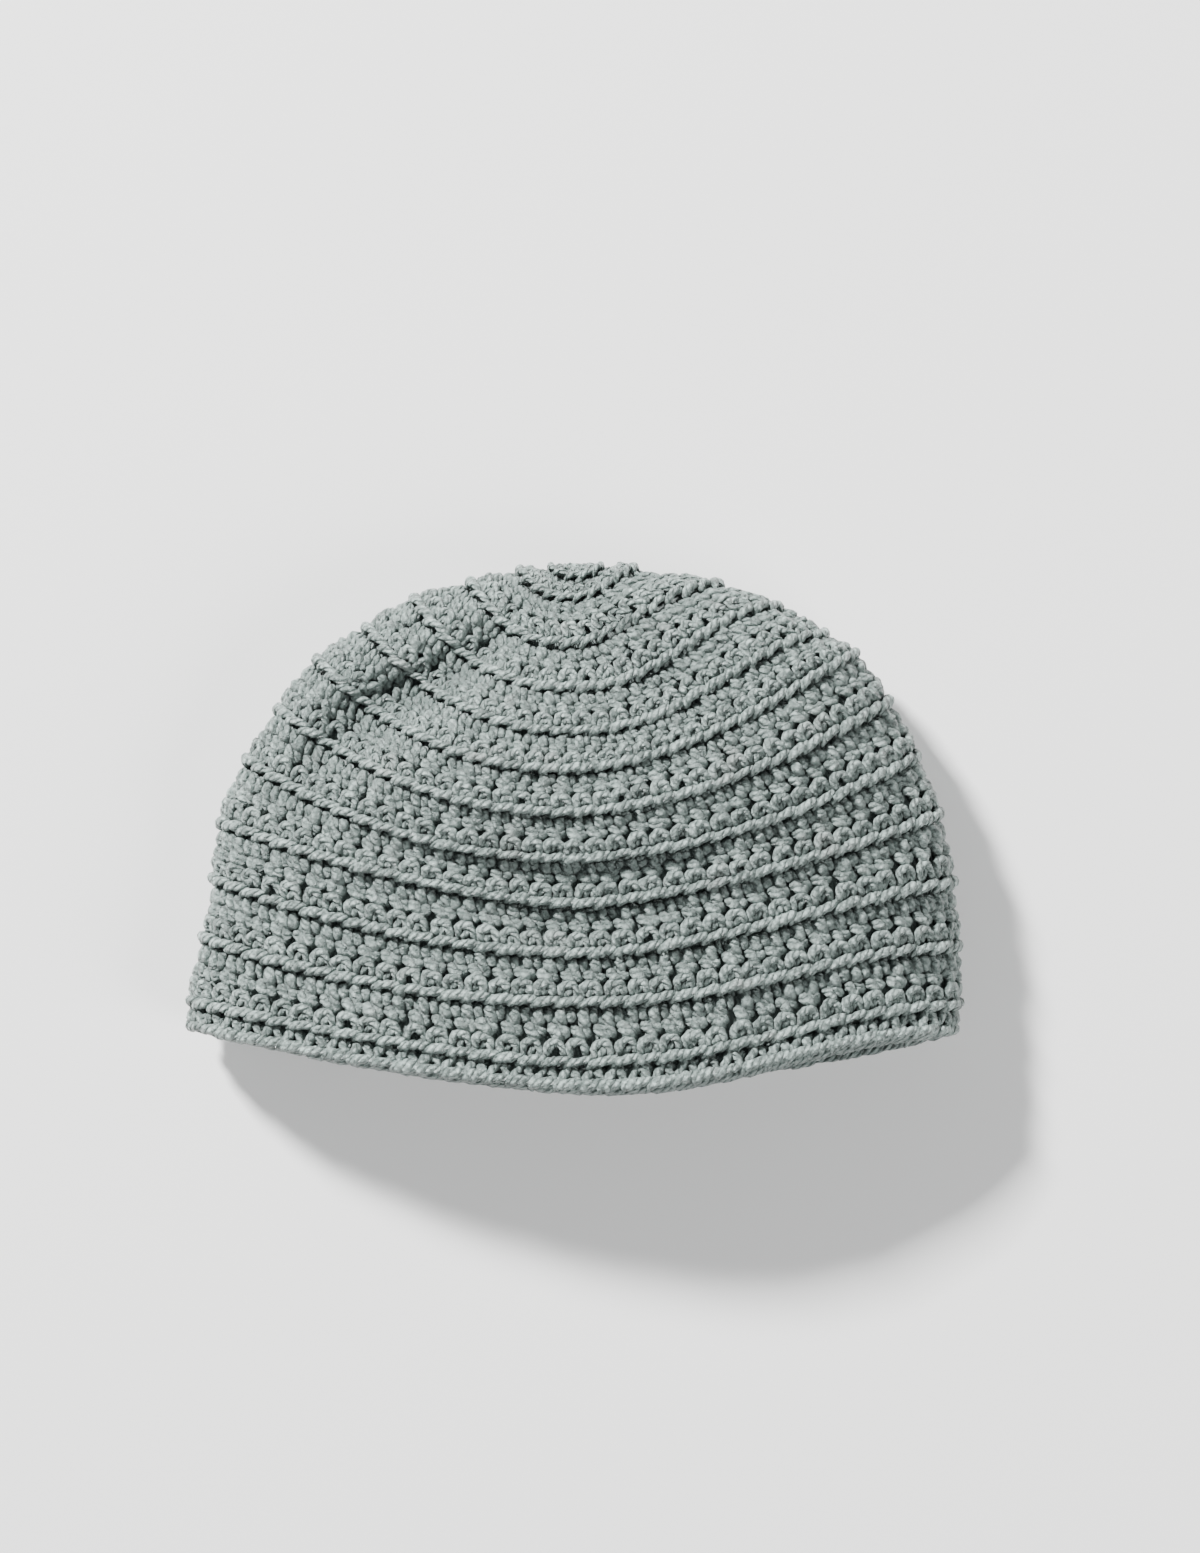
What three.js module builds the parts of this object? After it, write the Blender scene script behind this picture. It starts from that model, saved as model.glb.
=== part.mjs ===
// A crocheted skull cap of one plain yarn, lying on its back, flattened by its own weight.
// Millimetres. +X runs along the rim, +Y from the rim to the crown centre, and +Z is up.
// The origin lies under the middle of the cap, on the surface that carries it.

import * as THREE from 'three';

// Driving dimensions

const WALL_UNDER_GROOVE = 3.0;
const PIECE_GAP = 0.3;
const STEPS_AROUND = 60;
const INNER_STEPS_PER_ROUND = 2;
const ROUND_COUNT = 13;

// In rounds: how close rows may lie, and how far apart normals and spans are measured
const CLOSEST_ROWS = 0.05;
const NORMAL_PROBE = 0.02;
const SPAN_PROBE = 0.1;

// Middle of the cap's box in the frame of the table below, which the origin stands under
const BOX_MIDDLE_X = 0.03;
const BOX_MIDDLE_Y = -0.18;

const YARN_COLOUR = 0xbcc6c1;
const YARN_ROUGHNESS = 0.93;

// The hidden back of a round hangs a little less far towards the rim than the front
const BACK_DROP_SHARE = 0.9;
const BACK_BOW = 2.0;

// Roundness of a section across the cap: full on the upper side, flat on the side that rests
const FRONT_FULLNESS = 2.15;
const BACK_FULLNESS = 3.6;

// The lines between the rounds, from the crown centre to the rim.
// Each row has the line's two ends on the side folds, its lowest point on the upper side,
// how each half bows, how flat it runs out at the right fold, and the heights of the upper
// side, the folds and the under side above the surface.
const ROUND_LINES = [
  { leftX: -0.3, leftY: 80.4, midX: -0.3, midY: 80.4, rightX: -0.3, rightY: 80.4,
    leftBow: 2.0, rightBow: 2.0, rightFlat: 1.0, top: 22.0, fold: 22.0, under: 22.0 },
  { leftX: -8.7, leftY: 79.2, midX: 0.0, midY: 75.8, rightX: 9.3, rightY: 79.6,
    leftBow: 2.0, rightBow: 2.0, rightFlat: 1.0, top: 29.5, fold: 22.0, under: 14.5 },
  { leftX: -18.6, leftY: 78.1, midX: -0.9, midY: 68.5, rightX: 20.2, rightY: 78.6,
    leftBow: 2.4, rightBow: 1.8, rightFlat: 1.4, top: 36.0, fold: 22.0, under: 8.0 },
  { leftX: -34.4, leftY: 74.1, midX: -1.6, midY: 53.9, rightX: 47.2, rightY: 73.4,
    leftBow: 2.5, rightBow: 1.8, rightFlat: 2.2, top: 42.5, fold: 21.5, under: 2.5 },
  { leftX: -51.8, leftY: 68.8, midX: -0.6, midY: 40.6, rightX: 64.8, rightY: 66.2,
    leftBow: 2.5, rightBow: 2.4, rightFlat: 2.6, top: 48.0, fold: 21.0, under: 0.0 },
  { leftX: -66.3, leftY: 59.5, midX: 0.0, midY: 27.3, rightX: 78.6, rightY: 57.6,
    leftBow: 2.3, rightBow: 2.2, rightFlat: 2.0, top: 52.0, fold: 21.0, under: 0.0 },
  { leftX: -81.5, leftY: 49.3, midX: -1.6, midY: 15.8, rightX: 87.7, rightY: 51.5,
    leftBow: 2.3, rightBow: 1.8, rightFlat: 1.1, top: 55.0, fold: 21.0, under: 0.0 },
  { leftX: -92.7, leftY: 33.5, midX: -1.6, midY: 2.5, rightX: 98.3, rightY: 36.0,
    leftBow: 2.1, rightBow: 1.75, rightFlat: 1.0, top: 56.0, fold: 20.0, under: 0.0 },
  { leftX: -102.3, leftY: 17.7, midX: 0.0, midY: -11.5, rightX: 106.3, rightY: 18.9,
    leftBow: 2.1, rightBow: 1.75, rightFlat: 1.0, top: 54.5, fold: 19.0, under: 0.0 },
  { leftX: -109.7, leftY: -1.9, midX: 0.0, midY: -25.7, rightX: 113.2, rightY: 0.9,
    leftBow: 1.5, rightBow: 1.5, rightFlat: 1.0, top: 52.5, fold: 18.0, under: 0.0 },
  { leftX: -111.9, leftY: -19.2, midX: 1.6, midY: -40.9, rightX: 116.9, rightY: -20.8,
    leftBow: 1.85, rightBow: 1.8, rightFlat: 1.6, top: 51.0, fold: 17.0, under: 0.0 },
  { leftX: -115.3, leftY: -37.5, midX: 0.0, midY: -56.1, rightX: 118.4, rightY: -40.0,
    leftBow: 1.9, rightBow: 2.3, rightFlat: 2.4, top: 50.0, fold: 16.5, under: 0.0 },
  { leftX: -118.8, leftY: -56.7, midX: -3.1, midY: -74.2, rightX: 118.4, rightY: -57.4,
    leftBow: 1.3, rightBow: 2.3, rightFlat: 2.4, top: 51.0, fold: 16.5, under: 0.0 },
  { leftX: -118.2, leftY: -63.6, midX: 7.8, midY: -81.4, rightX: 116.6, rightY: -65.5,
    leftBow: 1.5, rightBow: 2.1, rightFlat: 2.6, top: 52.0, fold: 17.0, under: 0.0 },
];

// How far the outer face stands out between two lines: a low front of posts, then the chain ridge
const ROUND_PROFILE = [
  { along: 0.0, rise: 0.0 },
  { along: 0.16, rise: 1.2 },
  { along: 0.55, rise: 1.1 },
  { along: 0.84, rise: 1.7 },
  { along: 1.0, rise: 0.0 },
];

// Dents and swells of the upper side. Angles run from the right fold (0) over the upper
// side (90) to the left fold (180), and a slanted fold turns by its slant in each round.
const SOFT_FOLDS = [
  { name: 'shoulder valley', round: 5.4, roundSpread: 2.1, angle: 138, angleSpread: 10, slant: 4.0,
    rise: -9.0 },
  { name: 'shoulder swell', round: 6.1, roundSpread: 1.3, angle: 115, angleSpread: 14, slant: 0,
    rise: 3.0 },
  { name: 'right crease', round: 4.4, roundSpread: 0.9, angle: 62, angleSpread: 10, slant: 0,
    rise: -1.8 },
  { name: 'front hollow', round: 8.7, roundSpread: 0.9, angle: 92, angleSpread: 27, slant: 0,
    rise: -2.6 },
  { name: 'front swell', round: 10.8, roundSpread: 0.8, angle: 92, angleSpread: 32, slant: 0,
    rise: 1.4 },
];

// The pieces, by the lines that they start and end on
const PIECES = [
  { name: 'crown_centre', from: 0, to: 2 },
  { name: 'crown', from: 2, to: 6 },
  { name: 'side_wall', from: 6, to: 12 },
  { name: 'rim_edging', from: 12, to: 13 },
];

// The base surface

function lineValue(column, round) {
  const last = ROUND_LINES.length - 1;
  const row = Math.min(Math.floor(round), last - 1);
  const t = round - row;
  const value = (index) => ROUND_LINES[index][column];
  const here = value(row);
  const next = value(row + 1);
  const before = row > 0 ? value(row - 1) : 2 * here - next;
  const after = row + 2 <= last ? value(row + 2) : 2 * next - here;
  const startSlope = (next - before) / 2;
  const endSlope = (after - here) / 2;
  const t2 = t * t;
  const t3 = t2 * t;
  return (2 * t3 - 3 * t2 + 1) * here + (t3 - 2 * t2 + t) * startSlope
    + (3 * t2 - 2 * t3) * next + (t3 - t2) * endSlope;
}

function foldShift(round, angle) {
  const degrees = THREE.MathUtils.radToDeg(angle);
  let shift = 0;
  for (const fold of SOFT_FOLDS) {
    const past = round - fold.round;
    const alongMeridian = past / fold.roundSpread;
    const alongRound = (degrees - fold.angle - fold.slant * past) / fold.angleSpread;
    shift += fold.rise * Math.exp(-alongMeridian * alongMeridian - alongRound * alongRound);
  }
  return shift;
}

function basePoint(round, angle) {
  const reach = Math.min(Math.abs(Math.cos(angle)), 1);
  const onRight = Math.cos(angle) >= 0;
  const onFront = Math.sin(angle) >= 0;
  const endX = lineValue(onRight ? 'rightX' : 'leftX', round);
  const endY = lineValue(onRight ? 'rightY' : 'leftY', round);
  const midX = lineValue('midX', round);
  const midY = lineValue('midY', round);
  const fold = lineValue('fold', round);
  const x = midX + (endX - midX) * reach;
  if (onFront) {
    const bow = lineValue(onRight ? 'rightBow' : 'leftBow', round);
    const flat = onRight ? lineValue('rightFlat', round) : 1;
    const climb = 1 - (1 - reach ** bow) ** flat;
    const arch = (1 - reach ** FRONT_FULLNESS) ** (1 / FRONT_FULLNESS);
    const z = fold + (lineValue('top', round) - fold) * arch + foldShift(round, angle);
    return new THREE.Vector3(x, midY + (endY - midY) * climb, z);
  }
  const sideY = (lineValue('leftY', round) + lineValue('rightY', round)) / 2;
  const backMidY = sideY + (midY - sideY) * BACK_DROP_SHARE;
  const sag = (1 - reach ** BACK_FULLNESS) ** (1 / BACK_FULLNESS);
  const y = backMidY + (endY - backMidY) * reach ** BACK_BOW;
  return new THREE.Vector3(x, y, fold - (fold - lineValue('under', round)) * sag);
}

function outwardNormal(round, angle) {
  const before = Math.max(round - NORMAL_PROBE, NORMAL_PROBE / 2);
  const after = Math.min(before + 2 * NORMAL_PROBE, ROUND_COUNT);
  const alongMeridian = basePoint(after, angle).sub(basePoint(before, angle));
  const middle = (before + after) / 2;
  const alongRound = basePoint(middle, angle + NORMAL_PROBE)
    .sub(basePoint(middle, angle - NORMAL_PROBE));
  return alongRound.cross(alongMeridian).normalize();
}

function profileRise(round) {
  const along = round - Math.min(Math.floor(round), ROUND_COUNT - 1);
  for (let i = 1; i < ROUND_PROFILE.length; i += 1) {
    const low = ROUND_PROFILE[i - 1];
    const high = ROUND_PROFILE[i];
    if (along <= high.along) {
      const t = (along - low.along) / (high.along - low.along);
      return THREE.MathUtils.lerp(low.rise, high.rise, t);
    }
  }
  return 0;
}

// Where the cap rests, its outer face is pressed flat on the surface
function outerPoint(round, angle) {
  const point = basePoint(round, angle);
  point.addScaledVector(outwardNormal(round, angle), profileRise(round));
  point.z = Math.max(point.z, 0);
  return point;
}

function innerPoint(round, angle) {
  const point = basePoint(round, angle);
  return point.addScaledVector(outwardNormal(round, angle), -WALL_UNDER_GROOVE);
}

// Rows of a piece

function outerRows(start, end) {
  const rows = [start];
  for (let round = Math.floor(start); round < Math.ceil(end); round += 1) {
    for (const step of ROUND_PROFILE) {
      const place = round + step.along;
      if (place > rows[rows.length - 1] + CLOSEST_ROWS && place < end - CLOSEST_ROWS) {
        rows.push(place);
      }
    }
  }
  rows.push(end);
  return rows;
}

function innerRows(start, end) {
  const count = Math.max(1, Math.round((end - start) * INNER_STEPS_PER_ROUND));
  return Array.from({ length: count + 1 }, (_, i) => THREE.MathUtils.lerp(start, end, i / count));
}

function gapInRounds(round) {
  const span = basePoint(round - SPAN_PROBE, Math.PI).distanceTo(basePoint(round, Math.PI));
  return PIECE_GAP / (span / SPAN_PROBE) / 2;
}

function pieceGeometry(piece) {
  const isPole = piece.from === 0;
  const start = isPole ? 0 : piece.from + gapInRounds(piece.from);
  const end = piece.to === ROUND_COUNT ? piece.to : piece.to - gapInRounds(piece.to);
  const positions = [];
  const indices = [];

  const addRing = (pointAt, round) => {
    const first = positions.length / 3;
    for (let step = 0; step < STEPS_AROUND; step += 1) {
      const point = pointAt(round, (2 * Math.PI * step) / STEPS_AROUND);
      positions.push(point.x, point.y, point.z);
    }
    return first;
  };
  const addPole = (pointAt) => {
    const point = pointAt(0, 0);
    positions.push(point.x, point.y, point.z);
    return positions.length / 3 - 1;
  };
  const joinRings = (a, b) => {
    for (let step = 0; step < STEPS_AROUND; step += 1) {
      const next = (step + 1) % STEPS_AROUND;
      indices.push(a + step, b + next, b + step, a + step, a + next, b + next);
    }
  };
  const closePole = (pole, ring, outward) => {
    for (let step = 0; step < STEPS_AROUND; step += 1) {
      const next = (step + 1) % STEPS_AROUND;
      indices.push(pole, outward ? ring + next : ring + step, outward ? ring + step : ring + next);
    }
  };

  const outside = outerRows(start, end).filter((round) => round > 0);
  const inside = innerRows(start, end).filter((round) => round > 0);
  const outerRings = outside.map((round) => addRing(outerPoint, round));
  const innerRings = inside.map((round) => addRing(innerPoint, round));
  for (let i = 1; i < outerRings.length; i += 1) {
    joinRings(outerRings[i - 1], outerRings[i]);
  }
  joinRings(outerRings[outerRings.length - 1], innerRings[innerRings.length - 1]);
  for (let i = innerRings.length - 1; i > 0; i -= 1) {
    joinRings(innerRings[i], innerRings[i - 1]);
  }
  if (isPole) {
    closePole(addPole(outerPoint), outerRings[0], true);
    closePole(addPole(innerPoint), innerRings[0], false);
  } else {
    joinRings(innerRings[0], outerRings[0]);
  }

  const geometry = new THREE.BufferGeometry();
  geometry.setAttribute('position', new THREE.Float32BufferAttribute(positions, 3));
  geometry.setIndex(indices);
  geometry.computeVertexNormals();
  return geometry;
}

// The assembly

const cap = new THREE.Group();
for (const piece of PIECES) {
  const material = new THREE.MeshStandardMaterial({
    color: YARN_COLOUR,
    roughness: YARN_ROUGHNESS,
    metalness: 0,
  });
  const mesh = new THREE.Mesh(pieceGeometry(piece), material);
  mesh.name = piece.name;
  mesh.position.set(-BOX_MIDDLE_X, -BOX_MIDDLE_Y, 0);
  cap.add(mesh);
}

export default cap;
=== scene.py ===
"""A crocheted skull cap of one plain yarn, lying on its back on a pale floor.

The cap's soft form is a smooth surface through the lines between its rounds. Every tall stitch is
laid on that form as strands of plied yarn, round by round, with the fabric's inner face behind.
Lengths are in millimetres until a mesh is made, and in metres from there on.
"""

import logging
import math
from dataclasses import dataclass, field, fields
from enum import Enum
from typing import Callable

import bpy
import numpy as np
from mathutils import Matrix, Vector


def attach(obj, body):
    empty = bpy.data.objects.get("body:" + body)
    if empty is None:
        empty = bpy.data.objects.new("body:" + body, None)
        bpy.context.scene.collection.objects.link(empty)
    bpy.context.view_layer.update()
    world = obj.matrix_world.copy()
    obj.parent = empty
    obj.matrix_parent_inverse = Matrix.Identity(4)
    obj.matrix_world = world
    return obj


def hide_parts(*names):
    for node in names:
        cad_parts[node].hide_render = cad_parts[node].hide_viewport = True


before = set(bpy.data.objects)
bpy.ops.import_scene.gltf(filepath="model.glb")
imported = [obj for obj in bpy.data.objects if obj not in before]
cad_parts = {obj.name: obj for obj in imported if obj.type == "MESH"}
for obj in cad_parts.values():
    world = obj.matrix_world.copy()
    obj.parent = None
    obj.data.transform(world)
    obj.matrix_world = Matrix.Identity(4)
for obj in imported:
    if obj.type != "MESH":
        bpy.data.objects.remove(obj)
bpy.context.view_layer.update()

LOG = logging.getLogger("skull_cap")
MM = 0.001
FABRIC_HALF = 1.8
YARN_LAYER = "yarn"
DEPTH_LAYER = "depth"
FLOAT = "NodeSocketFloat"
COLOUR = "NodeSocketColor"
SEED = 7
LEAN = 0.38
FULL_TURN = 2 * math.pi
SHORTEST = 1e-9
Array = np.ndarray
Colour = tuple[float, float, float, float]
Knot = tuple[float, float, float]
Material = bpy.types.Material
Node = bpy.types.Node
Object = bpy.types.Object
Socket = bpy.types.NodeSocket
Tree = bpy.types.NodeTree


class Relief(Enum):
    """Which stitch a round is made of."""

    TALL = "tall stitch"
    TALL_BOTH_FACES = "tall stitch, with its inner face too"
    SHORT = "short stitch"


@dataclass(frozen=True)
class RoundLine:
    """The line that ends a round, seen from above, and how high the cap stands along it."""

    left_x: float
    left_y: float
    mid_x: float
    mid_y: float
    right_x: float
    right_y: float
    left_bow: float
    right_bow: float
    right_flat: float
    top: float
    fold: float
    under: float


@dataclass(frozen=True)
class SoftFold:
    """A dent or swell of the upper side, round a place on the cap."""

    round: float
    round_spread: float
    angle: float
    angle_spread: float
    slant: float
    rise: float


# The crown centre comes first and the rim last, as in the part's own table
ROUND_LINES = (
    RoundLine(-0.3, 80.4, -0.3, 80.4, -0.3, 80.4, 2.0, 2.0, 1.0, 22.0, 22.0, 22.0),
    RoundLine(-8.7, 79.2, 0.0, 75.8, 9.3, 79.6, 2.0, 2.0, 1.0, 29.5, 22.0, 14.5),
    RoundLine(-18.6, 78.1, -0.9, 68.5, 20.2, 78.6, 2.4, 1.8, 1.4, 36.0, 22.0, 8.0),
    RoundLine(-34.4, 74.1, -1.6, 53.9, 47.2, 73.4, 2.5, 1.8, 2.2, 42.5, 21.5, 2.5),
    RoundLine(-51.8, 68.8, -0.6, 40.6, 64.8, 66.2, 2.5, 2.4, 2.6, 48.0, 21.0, 0.0),
    RoundLine(-66.3, 59.5, 0.0, 27.3, 78.6, 57.6, 2.3, 2.2, 2.0, 52.0, 21.0, 0.0),
    RoundLine(-81.5, 49.3, -1.6, 15.8, 87.7, 51.5, 2.3, 1.8, 1.1, 55.0, 21.0, 0.0),
    RoundLine(-92.7, 33.5, -1.6, 2.5, 98.3, 36.0, 2.1, 1.75, 1.0, 56.0, 20.0, 0.0),
    RoundLine(-102.3, 17.7, 0.0, -11.5, 106.3, 18.9, 2.1, 1.75, 1.0, 54.5, 19.0, 0.0),
    RoundLine(-109.7, -1.9, 0.0, -25.7, 113.2, 0.9, 1.5, 1.5, 1.0, 52.5, 18.0, 0.0),
    RoundLine(-111.9, -19.2, 1.6, -40.9, 116.9, -20.8, 1.85, 1.8, 1.6, 51.0, 17.0, 0.0),
    RoundLine(-115.3, -37.5, 0.0, -56.1, 118.4, -40.0, 1.9, 2.3, 2.4, 50.0, 16.5, 0.0),
    RoundLine(-118.8, -56.7, -3.1, -74.2, 118.4, -57.4, 1.3, 2.3, 2.4, 51.0, 16.5, 0.0),
    RoundLine(-118.2, -63.6, 7.8, -81.4, 116.6, -65.5, 1.5, 2.1, 2.6, 52.0, 17.0, 0.0),
)

SOFT_FOLDS = (
    SoftFold(round=5.4, round_spread=2.1, angle=138, angle_spread=10, slant=4.0, rise=-9.0),
    SoftFold(round=6.1, round_spread=1.3, angle=115, angle_spread=14, slant=0, rise=3.0),
    SoftFold(round=4.4, round_spread=0.9, angle=62, angle_spread=10, slant=0, rise=-1.8),
    SoftFold(round=8.7, round_spread=0.9, angle=92, angle_spread=27, slant=0, rise=-2.6),
    SoftFold(round=10.8, round_spread=0.8, angle=92, angle_spread=32, slant=0, rise=1.4),
)


def unit(vectors: Array, shortest: float = SHORTEST) -> Array:
    """Vectors with a length of 1, apart from any that are shorter than a shortest length."""
    return vectors / np.maximum(np.linalg.norm(vectors, axis=-1, keepdims=True), shortest)


def bell(values: Array, middle: float, spread: float) -> Array:
    """A soft bump of height 1 over a range of values."""
    return np.exp(-(((values - middle) / spread) ** 2))


@dataclass
class CapForm:
    """The cap's soft form, lying on its back.

    A place on it is a round (0 at the crown centre, 13 at the rim) and a share of the way round,
    from the right fold over the upper side to the left fold and back underneath. The fields from
    tuck_share on say where slack fabric gathers, and how far its posts sink and its chains rise.
    """

    lines: tuple[RoundLine, ...] = ROUND_LINES
    folds: tuple[SoftFold, ...] = SOFT_FOLDS
    box_middle_x: float = 0.03
    box_middle_y: float = -0.18
    back_drop_share: float = 0.9
    back_bow: float = 2.0
    front_fullness: float = 2.15
    back_fullness: float = 3.6
    rows_per_round: int = 24
    angle_steps: int = 1440
    share_steps: int = 1200
    contact_softness: float = 0.7
    tuck_share: float = 0.27
    tuck_spread: float = 0.12
    tuck_round: float = 8.6
    tuck_rounds: float = 2.6
    tuck_start: float = 0.6
    tuck_ramp: float = 0.5
    even_tuck: float = 0.22
    crown_tuck: float = 0.7
    crown_rounds: float = 3.0
    crown_edge: int = 4
    post_place: float = 0.17
    post_spread: float = 0.23
    post_sink: float = 1.6
    chain_place: float = 0.80
    chain_spread: float = 0.22
    chain_lift: float = 0.45
    crease_sink: float = 1.6
    chain_hold: float = 0.35
    crease_depth: float = 7.0
    points: Array = field(init=False)
    normals: Array = field(init=False)
    creases: Array = field(init=False)
    girths: Array = field(init=False)

    def __post_init__(self) -> None:
        """Samples the form once, on an even grid of rounds and shares."""
        rounds = np.linspace(0, self.last_round, self.last_round * self.rows_per_round + 1)
        angles = np.linspace(0, FULL_TURN, self.angle_steps + 1)
        shares = np.linspace(0, 1, self.share_steps + 1)
        grid = np.broadcast_arrays(rounds[:, None], angles[None, :])
        dents = np.clip(-self.fold_shift(*grid) / self.crease_depth, 0, 1)
        dents = np.where(np.sin(angles) > 0, dents, 0)
        self.points = np.empty((len(rounds), len(shares), 3))
        self.creases = np.empty((len(rounds), len(shares), 1))
        self.girths = np.empty(len(rounds))
        for row, ring in enumerate(self.base(*grid)):
            reach = np.linalg.norm(np.diff(ring, axis=0), axis=1)
            travel = np.concatenate(([0.0], np.cumsum(reach)))
            self.girths[row] = travel[-1]
            travel = travel / travel[-1] if travel[-1] > 0 else angles / angles[-1]
            for axis in range(3):
                self.points[row, :, axis] = np.interp(shares, travel, ring[:, axis])
            self.creases[row, :, 0] = np.interp(shares, travel, dents[row])
        self.normals = self.face_normals(self.points)

    @property
    def last_round(self) -> int:
        """The number of rounds, the edging included."""
        return len(self.lines) - 1

    def column(self, name: str, rounds: Array) -> Array:
        """One column of the table, smoothly between its rows.

        Args:
            name: The column's name in RoundLine.
            rounds: The places, in rounds from the crown centre.

        Returns:
            The column's value at each place.
        """
        values = np.array([getattr(line, name) for line in self.lines])
        before_first, after_last = 2 * values[0] - values[1], 2 * values[-1] - values[-2]
        padded = np.concatenate(([before_first], values, [after_last]))
        row = np.clip(np.floor(rounds).astype(int), 0, len(values) - 2)
        t = rounds - row
        before, here, after, later = (padded[row + step] for step in range(4))
        start, end = (after - before) / 2, (later - here) / 2
        return ((2 * t**3 - 3 * t**2 + 1) * here + (t**3 - 2 * t**2 + t) * start
                + (3 * t**2 - 2 * t**3) * after + (t**3 - t**2) * end)

    def base(self, rounds: Array, angles: Array) -> Array:
        """Points of the form at rounds and angles round it.

        Args:
            rounds: The places in rounds.
            angles: The angles in radians, 0 at the right fold and a quarter turn on the upper side.

        Returns:
            The points, in millimetres.
        """
        rounds, angles = np.broadcast_arrays(rounds, angles)
        reach = np.clip(np.abs(np.cos(angles)), 0, 1)
        on_right = np.cos(angles) >= 0
        on_front = np.sin(angles) >= 0
        line = {item.name: self.column(item.name, rounds) for item in fields(RoundLine)}
        fold, mid_x, mid_y = line["fold"], line["mid_x"], line["mid_y"]
        end_x, end_y, bow = (np.where(on_right, line[f"right_{key}"], line[f"left_{key}"])
                             for key in ("x", "y", "bow"))
        flat = np.where(on_right, line["right_flat"], 1.0)
        climb = 1 - (1 - reach**bow) ** flat
        arch = (1 - reach**self.front_fullness) ** (1 / self.front_fullness)
        top_z = fold + (line["top"] - fold) * arch + self.fold_shift(rounds, angles)
        side_y = (line["left_y"] + line["right_y"]) / 2
        back_mid_y = side_y + (mid_y - side_y) * self.back_drop_share
        sag = (1 - reach**self.back_fullness) ** (1 / self.back_fullness)
        under_z = fold - (fold - line["under"]) * sag
        x = mid_x + (end_x - mid_x) * reach - self.box_middle_x
        front_y = mid_y + (end_y - mid_y) * climb
        back_y = back_mid_y + (end_y - back_mid_y) * reach**self.back_bow
        y = np.where(on_front, front_y, back_y) - self.box_middle_y
        return np.stack((x, y, np.where(on_front, top_z, under_z)), axis=-1)

    def fold_shift(self, rounds: Array, angles: Array) -> Array:
        """How far the dents and swells move the upper side.

        Args:
            rounds: The places in rounds.
            angles: The angles in radians.

        Returns:
            The moves up, in millimetres.
        """
        shift = np.zeros_like(rounds, dtype=float)
        for fold in self.folds:
            past = rounds - fold.round
            along = past / fold.round_spread
            across = (np.degrees(angles) - fold.angle - fold.slant * past) / fold.angle_spread
            shift += fold.rise * np.exp(-(along**2) - across**2)
        return shift

    @staticmethod
    def face_normals(points: Array) -> Array:
        """Outward unit normals of the sampled form.

        Args:
            points: The samples, by round and share.

        Returns:
            A normal for each sample, with one direction for all of the crown centre.
        """
        closed = np.concatenate((points[:, -2:-1], points, points[:, 1:2]), axis=1)
        round_way = closed[:, 2:] - closed[:, :-2]
        rim_way = np.gradient(points, axis=0)
        normal = unit(np.cross(round_way, rim_way))
        normal[0] = unit(normal[1].mean(axis=0))
        return normal

    def look_up(self, table: Array, rounds: Array, shares: Array) -> Array:
        """Values of a sampled table between its samples.

        Args:
            table: The table, by round and share.
            rounds: Places in rounds.
            shares: Places as shares of the way round.

        Returns:
            The table's values at the places.
        """
        row = np.clip(rounds, 0, self.last_round) * self.rows_per_round
        column = np.mod(shares, 1.0) * self.share_steps
        r0 = np.clip(np.floor(row).astype(int), 0, table.shape[0] - 2)
        c0 = np.clip(np.floor(column).astype(int), 0, self.share_steps - 1)
        fr, fc = (row - r0)[..., None], (column - c0)[..., None]
        upper = table[r0, c0] * (1 - fc) + table[r0, c0 + 1] * fc
        lower = table[r0 + 1, c0] * (1 - fc) + table[r0 + 1, c0 + 1] * fc
        return upper * (1 - fr) + lower * fr

    def place(self, rounds: Array, shares: Array, heights: Array) -> tuple[Array, Array]:
        """Points above the form, and the form's normals there.

        Args:
            rounds: Places in rounds.
            shares: Places as shares of the way round.
            heights: Heights above the form, in millimetres.

        Returns:
            The points and the unit normals.
        """
        normal = unit(self.look_up(self.normals, rounds, shares))
        return self.look_up(self.points, rounds, shares) + normal * heights[..., None], normal

    def girth_at(self, place: float) -> float:
        """The way round the form at a place in rounds, in millimetres."""
        rows = np.arange(len(self.girths))
        return float(np.interp(place * self.rows_per_round, rows, self.girths))

    def gather(self, rounds: Array, shares: Array) -> Array:
        """How much the fabric gathers in the front middle, from 0 to 1."""
        across = (np.mod(shares, 1.0) - self.tuck_share) / self.tuck_spread
        return np.exp(-(across**2) - ((rounds - self.tuck_round) / self.tuck_rounds) ** 2)

    def tuck(self, rounds: Array, shares: Array) -> Array:
        """How slack fabric gathers, in the front middle, at the crown and in dents.

        Args:
            rounds: Places in rounds.
            shares: Places as shares of the way round.

        Returns:
            What it adds to the height, in millimetres.
        """
        middle = self.even_tuck + (1 - self.even_tuck) * self.gather(rounds, shares)
        middle += self.crown_tuck * np.exp(-((rounds / self.crown_rounds) ** self.crown_edge))
        reach = np.clip((rounds - self.tuck_start) / self.tuck_ramp, 0, 1)
        along = np.mod(rounds, 1.0)
        posts = bell(along, self.post_place, self.post_spread)
        chains = bell(along, self.chain_place, self.chain_spread)
        crease = self.look_up(self.creases, rounds, shares)[..., 0]
        relief = middle * reach * (self.chain_lift * chains - self.post_sink * posts)
        return relief - crease * self.crease_sink * (1 - self.chain_hold * chains)

    def settle(self, points: Array) -> Array:
        """Presses what would reach below the surface flat on it.

        Args:
            points: Points, in millimetres.

        Returns:
            The points, none of them below the surface.
        """
        soft = self.contact_softness
        settled = points.copy()
        z = settled[..., 2]
        settled[..., 2] = np.where(z < soft, soft * np.exp(np.minimum(z - soft, 0) / soft), z)
        return settled


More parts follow.
